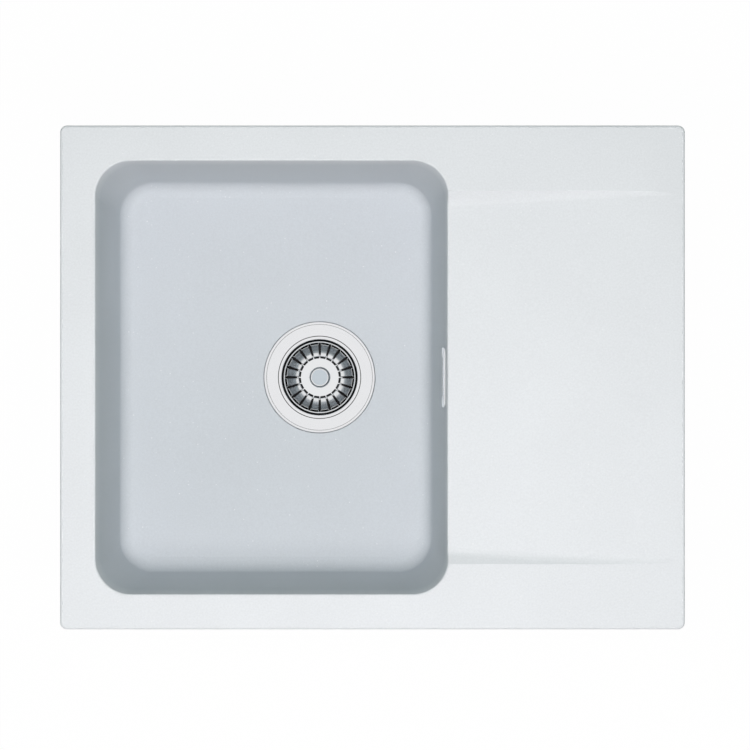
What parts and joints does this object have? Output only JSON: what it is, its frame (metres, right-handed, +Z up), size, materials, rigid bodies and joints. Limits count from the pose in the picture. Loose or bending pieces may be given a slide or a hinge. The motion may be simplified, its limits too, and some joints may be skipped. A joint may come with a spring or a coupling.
{
  "type": "kitchen sink with drainboard",
  "caption": "Inset composite kitchen sink: one deep rectangular bowl with a lift-out strainer basket and overflow, and a sloping drainboard at its side.",
  "frame": {"origin": "centre of the rim's underside, in the plane of the worktop it rests on", "axes": "+X from the bowl towards the drainboard, +Y across the sink, +Z up out of the worktop"},
  "size_m": [0.62, 0.5, 0.303],
  "materials": {
    "composite": "semi-matt moulded composite with a fine speckle",
    "foam": "closed-cell foam",
    "polished_steel": "stainless, bright finish",
    "black_rubber": "matt moulded rubber",
    "white_plastic": "moulded polypropylene",
    "grey_plastic": "moulded polypropylene",
    "brass": "turned",
    "zinc_steel": "zinc-plated, satin"
  },
  "bodies": {
    "sink": {"sink_body": "composite", "rim_seal": "foam", "waste_flange": "polished_steel", "flange_gasket": "black_rubber", "lower_gasket": "black_rubber", "waste_body": "white_plastic", "waste_insert": "brass", "clamp_screw": "polished_steel", "overflow_cover": "polished_steel", "overflow_gasket": "black_rubber", "overflow_body": "white_plastic", "overflow_screws": "polished_steel", "overflow_pipe": "white_plastic", "overflow_upper_nut": "grey_plastic", "overflow_upper_washer": "black_rubber", "overflow_lower_nut": "grey_plastic", "overflow_lower_washer": "black_rubber", "clip_inserts": "brass", "clip_studs": "zinc_steel"},
    "strainer": {"basket": "polished_steel", "basket_knob": "polished_steel", "basket_stem": "polished_steel", "basket_seal": "black_rubber", "seal_retainer": "polished_steel"},
    "nut_1": {"clip_nut_1": "zinc_steel"},
    "claw_1": {"clip_claw_1": "zinc_steel"},
    "nut_2": {"clip_nut_2": "zinc_steel"},
    "claw_2": {"clip_claw_2": "zinc_steel"},
    "nut_3": {"clip_nut_3": "zinc_steel"},
    "claw_3": {"clip_claw_3": "zinc_steel"},
    "nut_4": {"clip_nut_4": "zinc_steel"},
    "claw_4": {"clip_claw_4": "zinc_steel"},
    "nut_5": {"clip_nut_5": "zinc_steel"},
    "claw_5": {"clip_claw_5": "zinc_steel"},
    "nut_6": {"clip_nut_6": "zinc_steel"},
    "claw_6": {"clip_claw_6": "zinc_steel"},
    "nut_7": {"clip_nut_7": "zinc_steel"},
    "claw_7": {"clip_claw_7": "zinc_steel"},
    "nut_8": {"clip_nut_8": "zinc_steel"},
    "claw_8": {"clip_claw_8": "zinc_steel"}
  },
  "joints": [
    {"name": "basket_lift", "type": "slide", "parent": "sink", "child": "strainer", "axis": [0, 0, 1], "range_m": [0, 0.28]},
    {"name": "nut_travel_1", "type": "slide", "parent": "sink", "child": "nut_1", "axis": [0, 0, 1], "range_m": [0, 0.028]},
    {"name": "claw_swing_1", "type": "hinge", "parent": "nut_1", "child": "claw_1", "pos_m": [-0.18, 0.231, -0.05], "axis": [0, 0, 1], "range_deg": [0, 180]},
    {"name": "nut_travel_2", "type": "slide", "parent": "sink", "child": "nut_2", "axis": [0, 0, 1], "range_m": [0, 0.028]},
    {"name": "claw_swing_2", "type": "hinge", "parent": "nut_2", "child": "claw_2", "pos_m": [0.19, 0.231, -0.05], "axis": [0, 0, 1], "continuous": true},
    {"name": "nut_travel_3", "type": "slide", "parent": "sink", "child": "nut_3", "axis": [0, 0, 1], "range_m": [0, 0.028]},
    {"name": "claw_swing_3", "type": "hinge", "parent": "nut_3", "child": "claw_3", "pos_m": [0.291, 0.14, -0.05], "axis": [0, 0, 1], "continuous": true},
    {"name": "nut_travel_4", "type": "slide", "parent": "sink", "child": "nut_4", "axis": [0, 0, 1], "range_m": [0, 0.028]},
    {"name": "claw_swing_4", "type": "hinge", "parent": "nut_4", "child": "claw_4", "pos_m": [0.291, -0.14, -0.05], "axis": [0, 0, -1], "continuous": true},
    {"name": "nut_travel_5", "type": "slide", "parent": "sink", "child": "nut_5", "axis": [0, 0, 1], "range_m": [0, 0.028]},
    {"name": "claw_swing_5", "type": "hinge", "parent": "nut_5", "child": "claw_5", "pos_m": [0.19, -0.231, -0.05], "axis": [0, 0, -1], "continuous": true},
    {"name": "nut_travel_6", "type": "slide", "parent": "sink", "child": "nut_6", "axis": [0, 0, 1], "range_m": [0, 0.028]},
    {"name": "claw_swing_6", "type": "hinge", "parent": "nut_6", "child": "claw_6", "pos_m": [-0.18, -0.231, -0.05], "axis": [0, 0, -1], "range_deg": [0, 180]},
    {"name": "nut_travel_7", "type": "slide", "parent": "sink", "child": "nut_7", "axis": [0, 0, 1], "range_m": [0, 0.028]},
    {"name": "claw_swing_7", "type": "hinge", "parent": "nut_7", "child": "claw_7", "pos_m": [-0.291, -0.14, -0.05], "axis": [0, 0, 1], "range_deg": [0, 180]},
    {"name": "nut_travel_8", "type": "slide", "parent": "sink", "child": "nut_8", "axis": [0, 0, 1], "range_m": [0, 0.028]},
    {"name": "claw_swing_8", "type": "hinge", "parent": "nut_8", "child": "claw_8", "pos_m": [-0.291, 0.14, -0.05], "axis": [0, 0, -1], "range_deg": [0, 180]}
  ]
}
